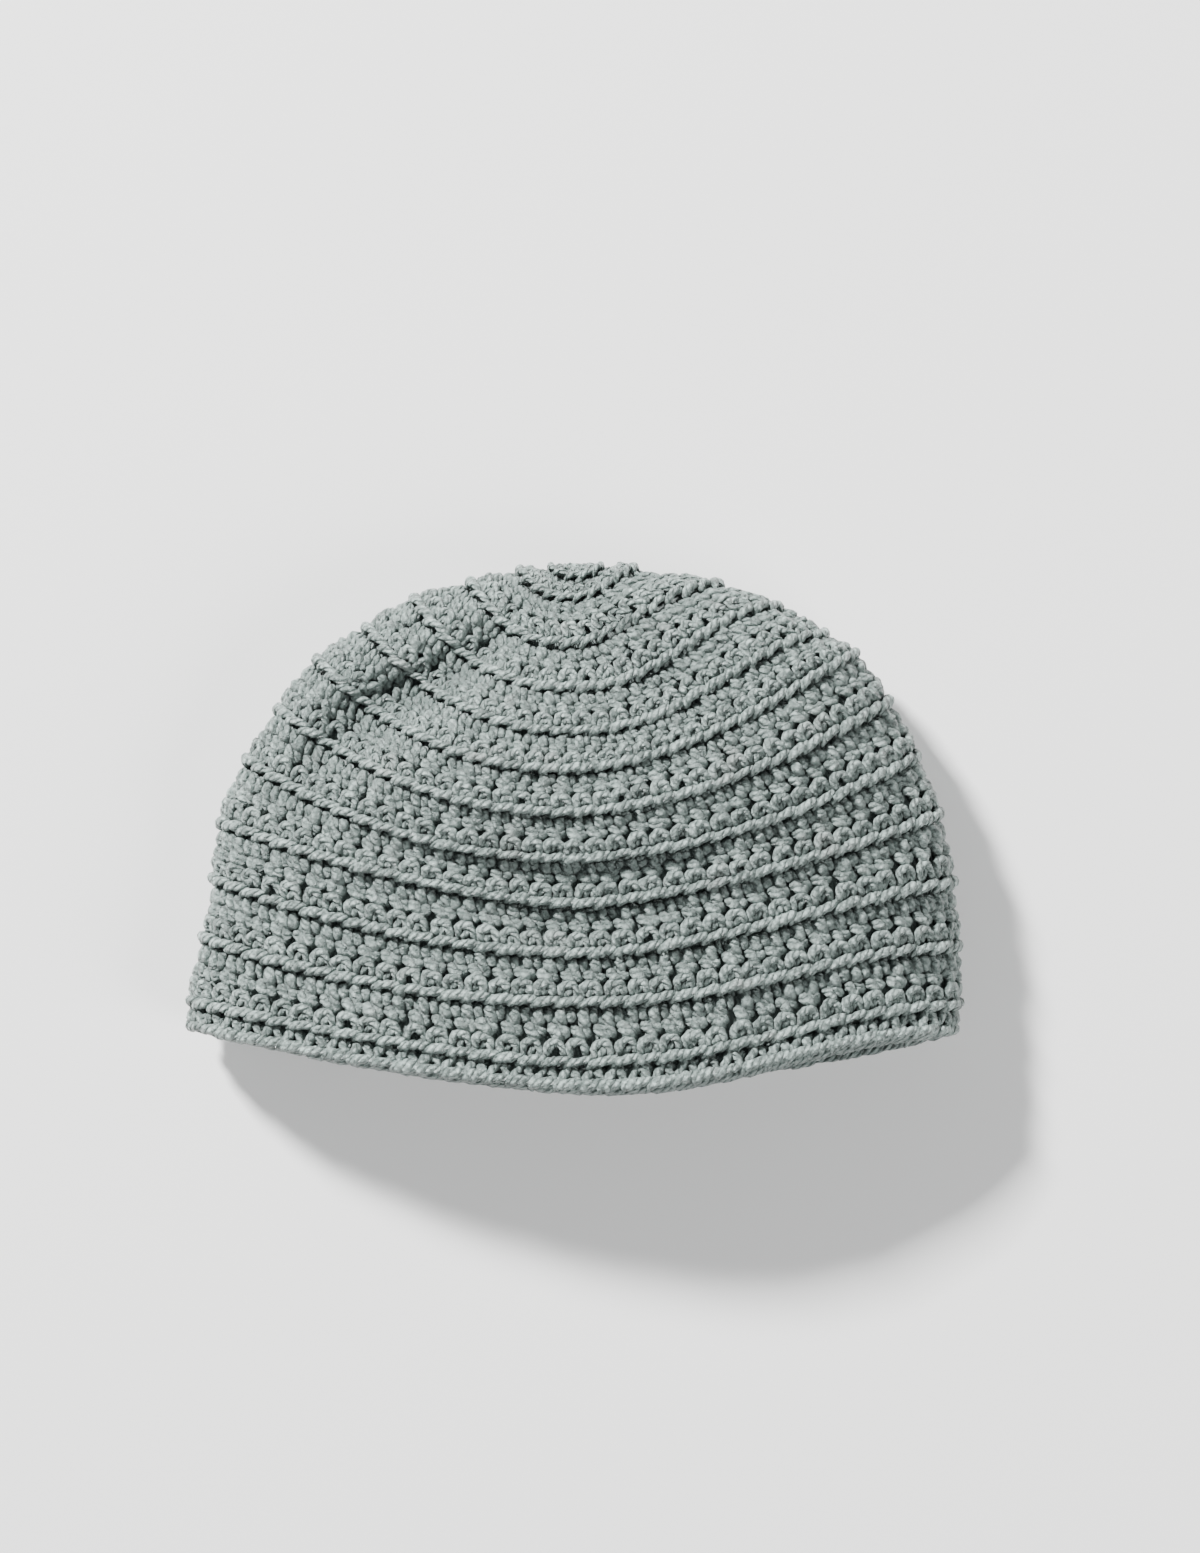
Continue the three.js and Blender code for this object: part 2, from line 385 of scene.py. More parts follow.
@dataclass(frozen=True)
class Strand:
    """One visible run of yarn in a stitch, in all stitches or a share of them.

    Each of its knots says how far across its stitch to the right it lies (0 to 1), how far along
    the round towards the rim (0 to 1), and how high above the cap's form, in millimetres. Its
    stray is how much it shares in the unevenness of the stitches. Where the fabric isn't gathered,
    it rises by its lobe in its middle and slants by its lobe slant, in rounds.
    """

    radius: float
    sides: int
    steps: int
    knots: tuple[Knot, ...]
    swell: float = 0.10
    share: float = 1.0
    stray: float = 1.0
    lobe: float = 0.0
    lobe_slant: float = 0.0


CHAIN = Strand(1.36, 8, 2, (
    (-0.28, 0.938, -1.4), (-0.13, 0.914, -0.3), (0.05, 0.888, 0.34), (0.27, 0.864, 0.66),
    (0.5, 0.846, 0.64), (0.74, 0.834, 0.28), (0.96, 0.83, -0.45), (1.13, 0.842, -1.45),
), swell=0.2, stray=0.45, lobe=0.3, lobe_slant=0.035)
ARCH = Strand(1.34, 7, 2, (
    (0.06, 0.78, -1.2), (0.03, 0.705, -0.2), (0.01, 0.635, 0.2), (0.08, 0.562, 0.48),
    (0.29, 0.522, 0.55), (0.51, 0.536, 0.45), (0.66, 0.6, 0.15), (0.71, 0.68, -0.15),
    (0.73, 0.77, -1.2),
))
UPPER_LEFT = Strand(1.66, 7, 2, (
    (0.41, -0.03, -1.6), (0.45, 0.045, -0.6), (0.5, 0.12, -0.05), (0.55, 0.19, -0.1),
    (0.61, 0.245, -0.9), (0.66, 0.29, -1.8),
))
UPPER_RIGHT = Strand(1.6, 7, 2, (
    (0.84, -0.03, -1.8), (0.88, 0.05, -1.0), (0.93, 0.12, -0.65), (0.96, 0.18, -0.9),
    (0.98, 0.235, -1.8),
))
MIDDLE_LEFT = Strand(1.6, 7, 2, (
    (0.06, 0.27, -1.8), (0.15, 0.318, -0.45), (0.26, 0.36, 0.05), (0.37, 0.402, 0.05),
    (0.47, 0.448, -0.55), (0.54, 0.49, -1.6),
))
MIDDLE_RIGHT = Strand(1.54, 7, 2, (
    (0.52, 0.275, -2.1), (0.6, 0.318, -1.05), (0.69, 0.355, -0.75), (0.76, 0.392, -1.05),
    (0.82, 0.43, -2.1),
))
POST_BEHIND = Strand(1.75, 5, 1, (
    (0.24, -0.02, -2.2), (0.22, 0.1, -1.65), (0.28, 0.23, -1.6), (0.46, 0.36, -1.75),
    (0.62, 0.48, -1.85), (0.72, 0.58, -2.4),
))
HOLE_CROSSING = Strand(1.3, 6, 1, (
    (0.16, 0.8, -1.7), (0.28, 0.725, -0.7), (0.38, 0.66, -0.4), (0.49, 0.605, -0.7),
    (0.58, 0.55, -1.8),
), share=0.9)
TALL_STITCH = (CHAIN, ARCH, UPPER_LEFT, UPPER_RIGHT, MIDDLE_LEFT, MIDDLE_RIGHT, POST_BEHIND,
               HOLE_CROSSING)

EDGE_CHAIN = Strand(1.52, 8, 2, (
    (-0.32, 0.86, -1.2), (-0.14, 0.79, -0.15), (0.1, 0.715, 0.4), (0.38, 0.66, 0.55),
    (0.66, 0.62, 0.3), (0.92, 0.6, -0.4), (1.12, 0.61, -1.3),
), swell=0.3)
EDGE_CHAIN_BEHIND = Strand(1.35, 6, 2, (
    (-0.2, 0.76, -1.9), (0.0, 0.85, -1.2), (0.3, 0.905, -1.05), (0.62, 0.9, -1.25),
    (0.9, 0.85, -1.6), (1.1, 0.78, -2.1),
))
SHORT_LEFT = Strand(1.42, 7, 2, (
    (0.42, -0.06, -1.5), (0.32, 0.11, -0.35), (0.22, 0.26, 0.1), (0.14, 0.4, -0.2),
    (0.08, 0.54, -1.1),
))
SHORT_RIGHT = Strand(1.42, 7, 2, (
    (0.58, -0.06, -1.6), (0.68, 0.11, -0.5), (0.76, 0.26, -0.1), (0.82, 0.4, -0.35),
    (0.86, 0.54, -1.2),
))
SHORT_BEHIND = Strand(1.5, 5, 1, (
    (-0.1, 0.16, -1.9), (0.25, 0.12, -1.55), (0.6, 0.16, -1.55), (0.95, 0.12, -1.75),
    (1.15, 0.16, -1.95),
))
INNER_BAR = Strand(1.38, 6, 1, (
    (-0.16, 0.985, -2.6), (0.08, 0.945, -3.5), (0.38, 0.925, -3.95), (0.7, 0.9, -3.9),
    (0.98, 0.875, -3.4), (1.14, 0.87, -2.6),
), swell=0.2)
INNER_POST_LEFT = Strand(1.45, 6, 1, (
    (0.42, 0.0, -2.7), (0.36, 0.16, -3.6), (0.26, 0.36, -3.95), (0.34, 0.58, -3.85),
    (0.3, 0.76, -3.55), (0.24, 0.88, -2.8),
))
INNER_POST_RIGHT = Strand(1.4, 6, 1, (
    (0.9, 0.01, -2.7), (0.82, 0.19, -3.45), (0.7, 0.4, -3.8), (0.82, 0.6, -3.7),
    (0.76, 0.78, -3.4), (0.7, 0.88, -2.7),
))
INNER_LOOP = Strand(1.3, 6, 1, (
    (0.02, 0.3, -2.9), (0.22, 0.42, -3.8), (0.5, 0.52, -4.2), (0.74, 0.62, -3.9),
    (0.92, 0.7, -2.9),
))
INNER_FACE = (INNER_BAR, INNER_POST_LEFT, INNER_POST_RIGHT, INNER_LOOP)

INNER_EDGE_BAR = Strand(1.4, 6, 1, (
    (-0.16, 0.56, -2.7), (0.1, 0.52, -3.5), (0.42, 0.5, -3.85), (0.74, 0.47, -3.7),
    (1.1, 0.43, -2.7),
))
RIM_BACK_CHAIN = Strand(1.42, 6, 1, (
    (-0.14, 0.985, -1.9), (0.12, 0.935, -2.75), (0.4, 0.9, -3.15), (0.7, 0.885, -3.15),
    (0.94, 0.9, -2.75), (1.1, 0.93, -1.9),
))
SHORT_STITCH = (EDGE_CHAIN, EDGE_CHAIN_BEHIND, SHORT_LEFT, SHORT_RIGHT, SHORT_BEHIND,
                INNER_EDGE_BAR, RIM_BACK_CHAIN)

STITCHES = {
    Relief.TALL: TALL_STITCH,
    Relief.TALL_BOTH_FACES: TALL_STITCH + INNER_FACE,
    Relief.SHORT: SHORT_STITCH,
}


@dataclass
class MeshParts:
    """Faces gathered before they become one Blender mesh."""

    vertices: list[Array] = field(default_factory=list)
    faces: list[Array] = field(default_factory=list)
    coordinates: list[Array] = field(default_factory=list)
    slots: list[int] = field(default_factory=list)
    count: int = 0

    def add_faces(self, vertices: Array, faces: Array, coordinates: Array, slot: int = 0) -> None:
        """Adds faces of one size, with their vertices.

        Args:
            vertices: Points, in millimetres.
            faces: Corner numbers among these vertices, a row for each face.
            coordinates: Along and round the yarn, depth and tone, for each corner of each face.
            slot: The material slot.
        """
        self.more_faces(faces + self.count, coordinates, slot)
        self.vertices.append(vertices.reshape(-1, 3))
        self.count += vertices.size // 3

    def more_faces(self, faces: Array, coordinates: Array, slot: int = 0) -> None:
        """Adds faces of one size on vertices that are there already.

        Args:
            faces: Corner numbers in the whole mesh, a row for each face.
            coordinates: Along and round the yarn, depth and tone, for each corner of each face.
            slot: The material slot.
        """
        self.faces.append(faces)
        self.coordinates.append(coordinates.reshape(-1, 4))
        self.slots.append(slot)

    def build(self, name: str, materials: list[Material]) -> Object:
        """Makes the object and links it to the scene.

        Args:
            name: The piece's name.
            materials: The materials of its slots.

        Returns:
            The new object.
        """
        vertices = np.concatenate(self.vertices).astype(np.float32) * MM
        corners = np.concatenate([faces.ravel() for faces in self.faces]).astype(np.int32)
        counts = [len(faces) for faces in self.faces]
        sizes = np.repeat([faces.shape[1] for faces in self.faces], counts)
        starts = np.concatenate(([0], np.cumsum(sizes)[:-1])).astype(np.int32)
        slots = np.repeat(self.slots, counts).astype(np.int32)
        mesh = bpy.data.meshes.new(name)
        mesh.vertices.add(len(vertices))
        mesh.vertices.foreach_set("co", vertices.ravel())
        mesh.loops.add(len(corners))
        mesh.loops.foreach_set("vertex_index", corners)
        mesh.polygons.add(len(sizes))
        mesh.polygons.foreach_set("loop_start", starts)
        mesh.polygons.foreach_set("use_smooth", np.ones(len(sizes), dtype=bool))
        mesh.polygons.foreach_set("material_index", slots)
        coordinates = np.concatenate(self.coordinates).astype(np.float32)
        for place, layer_name in enumerate((YARN_LAYER, DEPTH_LAYER)):
            pair = np.ascontiguousarray(coordinates[:, 2 * place:2 * place + 2])
            layer = mesh.uv_layers.new(name=layer_name)
            layer.data.foreach_set("uv", pair.ravel())
        mesh.update(calc_edges=True)
        mesh.validate()
        for material in materials:
            mesh.materials.append(material)
        return put_in_scene(name, mesh)


def put_in_scene(name: str, data: bpy.types.ID) -> Object:
    """Makes an object of a mesh, light or camera, and links it to the scene.

    Args:
        name: The object's name.
        data: What it shows.

    Returns:
        The new object.
    """
    placed = bpy.data.objects.new(name, data)
    bpy.context.scene.collection.objects.link(placed)
    return placed


def smooth_path(knots: Array, steps: int) -> Array:
    """A smooth path through knots.

    Args:
        knots: Points to run through, with the knots on the second axis.
        steps: New points for each stretch between two knots.

    Returns:
        The path, with its points on the second axis.
    """
    first = 2 * knots[:, :1] - knots[:, 1:2]
    last = 2 * knots[:, -1:] - knots[:, -2:-1]
    padded = np.concatenate((first, knots, last), axis=1)
    t = (np.arange(steps) / steps)[None, None, :, None]
    a, b, c, d = (padded[:, i:i + knots.shape[1] - 1, None, :] for i in range(4))
    path = 0.5 * (2 * b + (c - a) * t + (2 * a - 5 * b + 4 * c - d) * t**2
                  + (3 * b - a - 3 * c + d) * t**3)
    path = path.reshape(knots.shape[0], -1, knots.shape[2])
    return np.concatenate((path, knots[:, -1:]), axis=1)


@dataclass
class YarnTubes:
    """Sweeps plied yarn along many paths at once."""

    draws: np.random.Generator
    taper: float = 0.5
    lumps: float = 0.11
    coordinate_scale: float = 0.1
    shortest_side: float = 1e-6

    def sweep(self, parts: MeshParts, paths: Array, normals: Array, heights: Array,
              radii: Array, tones: Array, strand: Strand,
              settle: Callable[[Array], Array]) -> None:
        """Adds closed tubes along paths of equal length.

        Args:
            parts: Where the faces go.
            paths: Centre lines, in millimetres, a row for each tube.
            normals: The form's normals along the paths.
            heights: Heights above the form along the paths, in millimetres.
            radii: The yarn's radius for each tube.
            tones: A number from 0 to 1 for each tube, for its tone.
            strand: The strand that the tubes are, for its sides and swell.
            settle: What presses the yarn flat on the surface below.
        """
        tubes, steps, _ = paths.shape
        sides = strand.sides
        way = unit(np.gradient(paths, axis=1))
        side = unit(np.cross(normals, way), self.shortest_side)
        lift = np.cross(way, side)
        progress = np.linspace(0, 1, steps)
        girth = 1 + strand.swell * (np.sin(math.pi * progress) - 0.5)
        girth[[0, -1]] *= self.taper
        lumps = 1 + self.lumps * self.draws.normal(size=(tubes, steps))
        thickness = radii[:, None] * girth * lumps
        angle = FULL_TURN * np.arange(sides) / sides
        cosine, sine = np.cos(angle)[:, None], np.sin(angle)[:, None]
        spread = side[:, :, None] * cosine + lift[:, :, None] * sine
        rings = settle(paths[:, :, None] + spread * thickness[:, :, None, None])
        index = np.arange(tubes * steps * sides).reshape(tubes, steps, sides)
        right = np.roll(index, -1, axis=2)
        faces = np.stack((index[:, :-1], right[:, :-1], right[:, 1:], index[:, 1:]), axis=-1)
        reach = np.linalg.norm(np.diff(paths, axis=1), axis=-1)
        travel = np.concatenate((np.zeros((tubes, 1)), np.cumsum(reach, axis=1)), axis=1)
        u = np.broadcast_to((travel * self.coordinate_scale)[:, :, None], index.shape)
        v = np.broadcast_to(np.arange(sides) / sides, index.shape)
        # Depth drives painted shade: it falls towards the fabric and down the lower side of each
        # strand.
        depth = heights[:, :, None] + thickness[:, :, None] * np.sin(angle)
        tone = np.broadcast_to(tones[:, None, None], index.shape)
        here = np.stack((u, v, depth, tone), axis=-1)
        beside = np.roll(here, -1, axis=2)
        beside[..., 1] = v + 1 / sides
        coordinates = np.stack((here[:, :-1], beside[:, :-1], beside[:, 1:], here[:, 1:]), axis=3)
        base = parts.count
        parts.add_faces(rings, faces.reshape(-1, 4), coordinates)
        caps = np.concatenate((index[:, 0, ::-1], index[:, -1])) + base
        ends = np.concatenate((here[:, 0, ::-1], here[:, -1]))
        parts.more_faces(caps, ends)


@dataclass(frozen=True)
class Wander:
    """How far hand-made stitches stray from an even row."""

    across: float = 0.028
    along: float = 0.010
    height: float = 0.24
    radius: float = 0.07
    knot_share: float = 0.75
    pitch: float = 0.022
    pitch_waves: tuple[int, ...] = (5, 9, 16)


@dataclass
class CrochetRound:
    """One round of the cap, stitch by stitch."""

    name: str
    number: int
    stitches: int
    relief: Relief
    lean: float = LEAN
    full_width: float = 6.9
    width_place: float = 0.4
    crowding_power: float = 0.55
    wander: Wander = Wander()

    def starts(self, draws: np.random.Generator) -> Array:
        """Where each stitch starts, with the uneven pitch of hand work.

        Args:
            draws: Where the small irregularities come from.

        Returns:
            The starts, in stitches.
        """
        even = np.arange(self.stitches, dtype=float)
        stray = np.zeros(self.stitches)
        for waves in self.wander.pitch_waves:
            turn = FULL_TURN * (waves * even / self.stitches + draws.uniform())
            stray += np.sin(turn) * self.wander.pitch
        return even + stray + self.number * self.lean

    def crowding(self, form: CapForm) -> float:
        """How much the round's yarn is pressed together, 1 where a stitch has its full width."""
        width = form.girth_at(self.number - self.width_place) / self.stitches
        return min(1.0, (width / self.full_width) ** self.crowding_power)

    def build(self, form: CapForm, material: Material, draws: np.random.Generator) -> Object:
        """Lays the round's yarn on the form.

        Args:
            form: The cap's form.
            material: The yarn.
            draws: Where the small irregularities come from.

        Returns:
            The round's object.
        """
        parts = MeshParts()
        tubes = YarnTubes(draws)
        wander = self.wander
        reach = (wander.across, wander.along, wander.height)
        starts = self.starts(draws)
        whole = draws.normal(size=(self.stitches, 3)) * reach
        for strand in STITCHES[self.relief]:
            knots = np.array(strand.knots)
            local = np.broadcast_to(knots, (self.stitches, *knots.shape)).copy()
            own = draws.normal(size=local.shape) * reach * wander.knot_share
            local += (own + whole[:, None, :]) * strand.stray
            path = smooth_path(local, strand.steps)
            shares = (starts[:, None] - path[..., 0]) / self.stitches
            rounds = self.number - 1 + path[..., 1]
            slack = 1 - form.gather(rounds, shares)
            progress = np.linspace(0, 1, path.shape[1])
            rounds += slack * strand.lobe_slant * (0.5 - progress)
            lobes = slack * strand.lobe * np.sin(math.pi * progress)
            heights = path[..., 2] + lobes + form.tuck(rounds, shares)
            points, normals = form.place(rounds, shares, heights)
            uneven = 1 + wander.radius * draws.normal(size=self.stitches)
            radii = strand.radius * self.crowding(form) * uneven
            tones = draws.uniform(size=self.stitches)
            kept = draws.uniform(size=self.stitches) <= strand.share
            tubes.sweep(parts, points[kept], normals[kept], heights[kept], radii[kept],
                        tones[kept], strand, form.settle)
        return parts.build(self.name, [material])


@dataclass
class FabricCore:
    """The fabric behind the strands: its middle, darker with painted shade, seen in the gaps, and
    its inner face.
    """

    name: str
    start: int
    end: int
    middle_height: float = -2.0
    inner_height: float = -3.3
    middle_rows: int = 4
    inner_rows: int = 8
    steps_around: int = 288
    ribs_around: int = 72
    post_relief: float = 0.6
    crossing_share: float = 0.6
    crossings: int = 2
    bar_relief: float = 1.1
    bar_spread: float = 0.09
    bar_wave: float = 0.25
    lean: float = LEAN
    crown_margin: float = 0.02
    rim_margin: float = 0.14
    even_tone: float = 0.5

    def inner_relief(self, rounds: Array, shares: Array) -> Array:
        """How far the yarn stands out on the inner face: pairs of posts, and bars between rounds.

        Args:
            rounds: Places in rounds.
            shares: Places as shares of the way round.

        Returns:
            The relief, in millimetres.
        """
        along = np.mod(rounds, 1.0)
        number = np.floor(rounds)
        across = FULL_TURN * (shares * self.ribs_around - number * self.lean)
        arch = np.sin(math.pi * along)
        posts = (0.5 + 0.5 * np.cos(across)) * arch
        crossing = 0.5 + 0.5 * np.cos(across + FULL_TURN * along * self.crossings)
        wave = 1 - self.bar_wave + self.bar_wave * np.cos(across)
        bars = bell(0.5 - np.abs(along - 0.5), 0.0, self.bar_spread) * wave
        relief = self.post_relief * (posts + self.crossing_share * crossing * arch)
        return relief + self.bar_relief * bars

    def surface(self, form: CapForm, rows: int) -> tuple[Array, Array, Array]:
        """An even grid on the form.

        Args:
            form: The cap's form.
            rows: Rows for each round.

        Returns:
            The grid's rounds, its shares, and the corner numbers of its faces.
        """
        count = (self.end - self.start) * rows + 1
        rounds = np.linspace(self.start, self.end, count)
        rounds[0] = max(rounds[0], self.crown_margin)
        rounds[-1] = min(rounds[-1], form.last_round - self.rim_margin)
        shares = np.arange(self.steps_around) / self.steps_around
        grid_rounds, grid_shares = np.meshgrid(rounds, shares, indexing="ij")
        index = np.arange(count * self.steps_around).reshape(count, self.steps_around)
        right = np.roll(index, -1, axis=1)
        faces = np.stack((index[:-1], right[:-1], right[1:], index[1:]), -1).reshape(-1, 4)
        return grid_rounds, grid_shares, faces

    def spots(self, rounds: Array, shares: Array, height: float) -> Array:
        """What the shaders read from a grid.

        Args:
            rounds: The grid's rounds.
            shares: The grid's shares.
            height: The grid's height above the form, in millimetres.

        Returns:
            Along, round, depth and tone, for each corner of each face.
        """
        depth, tone = np.full_like(shares, height), np.full_like(shares, self.even_tone)
        here = np.stack((shares * self.ribs_around, rounds, depth, tone), axis=-1)
        beside = np.roll(here, -1, axis=1)
        beside[:, -1, 0] += self.ribs_around
        return np.stack((here[:-1], beside[:-1], beside[1:], here[1:]), axis=2).reshape(-1, 4, 4)

    def edges(self, faces: Array) -> tuple[Array, Array]:
        """Corner numbers along a grid's edge at the crown, and along its edge at the rim."""
        return faces[:self.steps_around, :2], faces[-self.steps_around:, 3:1:-1]

    def build(self, form: CapForm, shade: Material, inner: Material) -> Object:
        """Makes the closed shell.

        Args:
            form: The cap's form.
            shade: The material of the middle, a darker copy of the yarn with painted shade.
            inner: The material of the inner face.

        Returns:
            The shell's object.
        """
        parts = MeshParts()
        rounds, shares, faces = self.surface(form, self.middle_rows)
        middle, _ = form.place(rounds, shares, self.middle_height + form.tuck(rounds, shares))
        parts.add_faces(middle, faces, self.spots(rounds, shares, self.middle_height), slot=0)
        middle_edges = self.edges(faces)
        rounds, shares, faces = self.surface(form, self.inner_rows)
        inner_edges = self.edges(faces + parts.count)
        heights = self.inner_height + form.tuck(rounds, shares) - self.inner_relief(rounds, shares)
        inside, _ = form.place(rounds, shares, heights)
        spots = self.spots(rounds, shares, self.inner_height)
        parts.add_faces(inside, faces[:, ::-1], spots[:, ::-1], slot=1)
        for outer, within, flip in zip(middle_edges, inner_edges, (False, True)):
            band = np.stack((outer[:, 0], within[:, 0], within[:, 1], outer[:, 1]), -1)
            band = band[:, ::-1] if flip else band
            parts.more_faces(band, np.zeros((len(band), 4, 4)), slot=1)
        return parts.build(self.name, [shade, inner])


@dataclass(frozen=True)
class NodeKit:
    """Short ways to put shader nodes in a tree."""

    tree: Tree

    def fill(self, node: Node, inputs: dict[str | int, object]) -> None:
        """Gives a node's inputs their values.

        Args:
            node: The node.
            inputs: An output to link or a constant value, by the input's name or number.
        """
        for key, value in inputs.items():
            if isinstance(value, Socket):
                self.tree.links.new(value, node.inputs[key])
            else:
                node.inputs[key].default_value = value

    def add(self, kind: str, inputs: dict | None = None, **settings: object) -> Node:
        """Adds a node.

        Args:
            kind: Its Blender type.
            inputs: What its inputs get, as for fill.
            settings: Its own properties, which are set first.

        Returns:
            The new node.
        """
        node = self.tree.nodes.new(kind)
        for key, value in settings.items():
            setattr(node, key, value)
        self.fill(node, inputs or {})
        return node

    def math(self, operation: str, *values: object) -> Socket:
        """Adds a Math node on sockets or numbers, and returns its output."""
        return self.add("ShaderNodeMath", dict(enumerate(values)), operation=operation).outputs[0]

    def noise(self, scale: object, detail: float) -> Socket:
        """Adds a noise in the object's own space.

        Args:
            scale: Its scale, a number or a socket.
            detail: How many finer layers it has.

        Returns:
            Its level.
        """
        spot = self.add("ShaderNodeTexCoord").outputs["Object"]
        inputs = {"Vector": spot, "Scale": scale, "Detail": detail}
        return self.add("ShaderNodeTexNoise", inputs).outputs["Fac"]

    def layer(self, name: str) -> bpy.types.NodeOutputs:
        """Reads one of a mesh's two layers, and returns its parts X and Y."""
        spot = self.add("ShaderNodeUVMap", uv_map=name).outputs["UV"]
        return self.add("ShaderNodeSeparateXYZ", {0: spot}).outputs

    def mix(self, factor: Socket, first: Socket, second: Socket) -> Socket:
        """Adds a colour Mix node.

        Args:
            factor: How much of the second colour.
            first: The first colour.
            second: The second colour.

        Returns:
            The mixed colour.
        """
        node = self.add("ShaderNodeMix", {"Factor": factor}, data_type="RGBA")
        colours = [place for place, socket in enumerate(node.inputs) if socket.type == "RGBA"]
        self.fill(node, dict(zip(colours, (first, second))))
        return next(socket for socket in node.outputs if socket.type == "RGBA")


@dataclass(frozen=True)
class Mottle:
    """A noise that runs from 0 at its low level to a most at its high level."""

    scale: float
    detail: float
    low: float
    high: float
    most: float

    def build(self, kit: NodeKit) -> Socket:
        """Adds the noise to a tree.


        Returns:
            Its level.
        """
        level = {"Value": kit.noise(self.scale, self.detail), "From Min": self.low,
                 "From Max": self.high, "To Max": self.most}
        return kit.add("ShaderNodeMapRange", level).outputs["Result"]


@dataclass(frozen=True)
class GroupMaker:
    """Builds the shader groups that the finishes share."""

    fibre_detail: float = 3.0
    lump_detail: float = 1.0
    groove_power: float = 0.8
    patches: Mottle = Mottle(scale=650.0, detail=3.0, low=0.44, high=0.64, most=0.85)
    flecks: Mottle = Mottle(scale=75.0, detail=2.0, low=0.60, high=0.75, most=0.5)
    own_tone: float = 0.35

    @staticmethod
    def start(name: str, inputs: dict[str, float | Colour], outputs: dict[str, str]) -> NodeKit:
        """Starts a group with named sockets.

        Args:
            name: The group's name.
            inputs: Default values by name, numbers or colours.
            outputs: Socket types by name.
        """
        group = bpy.data.node_groups.new(name, "ShaderNodeTree")
        for key, value in inputs.items():
            kind = FLOAT if isinstance(value, float) else COLOUR
            socket = group.interface.new_socket(key, in_out="INPUT", socket_type=kind)
            socket.default_value = value
        for key, kind in outputs.items():
            group.interface.new_socket(key, in_out="OUTPUT", socket_type=kind)
        return NodeKit(group)

    def yarn_twist(self) -> Tree:
        """The plies of a yarn that wind round it, with its lumps and fine fibres.

        Returns:
            A group that puts out their height, and a mask of the grooves between the plies, for
            painted shade.
        """
        kit = self.start(
            "yarn_twist",
            {"Plies": 3.0, "Turns": 4.2, "Fibre Scale": 2300.0, "Fibre Share": 0.9,
             "Lump Scale": 620.0, "Lump Share": 1.2},
            {"Height": FLOAT, "Groove": FLOAT})
        given = kit.add("NodeGroupInput").outputs
        spot = kit.layer(YARN_LAYER)
        around = kit.math("MULTIPLY", spot["Y"], given["Plies"])
        along = kit.math("MULTIPLY", spot["X"], given["Turns"])
        phase = kit.math("MULTIPLY", kit.math("ADD", around, along), math.pi)
        ply = height = kit.math("ABSOLUTE", kit.math("SINE", phase))
        for grain, detail in (("Fibre", self.fibre_detail), ("Lump", self.lump_detail)):
            noise = kit.noise(given[f"{grain} Scale"], detail)
            height = kit.math("ADD", height, kit.math("MULTIPLY", noise, given[f"{grain} Share"]))
        # Painted shade: the groove mask is 1 between the plies, where the tone group darkens the
        # yarn.
        groove = kit.math("SUBTRACT", 1.0, kit.math("POWER", ply, self.groove_power))
        kit.add("NodeGroupOutput", {"Height": height, "Groove": groove})
        return kit.tree

    def crevice_shade_and_tone(self) -> Tree:
        """How deep in the fabric the yarn lies, for painted shade, and its own random tone.

        Returns:
            A group that puts out a painted shade mask, 1 where the yarn lies deep, and the tone
            from 0 to 1.
        """
        kit = self.start("crevice_shade_and_tone", {"Deep": -1.6, "Proud": 2.9},
                         {"Depth Shade": FLOAT, "Tone": FLOAT})
        given = kit.add("NodeGroupInput").outputs
        spot = kit.layer(DEPTH_LAYER)
        # Depth from the nearer face of the fabric: the deeper the yarn, the more painted shade it
        # gets.
        middle = kit.math("ABSOLUTE", kit.math("ADD", spot["X"], FABRIC_HALF))
        level = {"Value": kit.math("SUBTRACT", middle, FABRIC_HALF),
                 "From Min": given["Proud"], "From Max": given["Deep"]}
        sink = kit.add("ShaderNodeMapRange", level, interpolation_type="SMOOTHSTEP")
        kit.add("NodeGroupOutput", {"Depth Shade": sink.outputs["Result"], "Tone": spot["Y"]})
        return kit.tree

    def fibre_tone(self) -> Tree:
        """The uneven tone of dyed cotton, with painted shade between plies and deep in the fabric.

        Returns:
            A group that puts out a colour that wanders between two tones, with warm flecks and
            painted shade.
        """
        grey = (0.5, 0.5, 0.5, 1.0)
        kit = self.start(
            "fibre_tone",
            {"Light Tone": grey, "Dark Tone": grey, "Fleck Tone": grey, "Painted Shade Tone": grey,
             "Groove": 0.0, "Groove Shade Share": 0.3, "Depth Shade": 0.0, "Depth Shade Share": 0.8, "Tone": 0.5},
            {"Color": COLOUR})
        given = kit.add("NodeGroupInput").outputs
        own = kit.math("MULTIPLY", given["Tone"], self.own_tone)
        wander = kit.math("ADD", self.patches.build(kit), own)
        colour = kit.mix(wander, given["Dark Tone"], given["Light Tone"])
        colour = kit.mix(self.flecks.build(kit), colour, given["Fleck Tone"])
        # Painted shade: ply grooves and deep yarn are mixed towards the shade tone.
        for mask, share in (("Groove", "Groove Shade Share"), ("Depth Shade", "Depth Shade Share")):
            dark = kit.math("MULTIPLY", given[mask], given[share])
            colour = kit.mix(dark, colour, given["Painted Shade Tone"])
        kit.add("NodeGroupOutput", {"Color": colour})
        return kit.tree


@dataclass(frozen=True)
class YarnGroups:
    """The shader groups that every yarn finish uses."""

    twist: Tree
    crevice_shade_and_tone: Tree
    tone: Tree


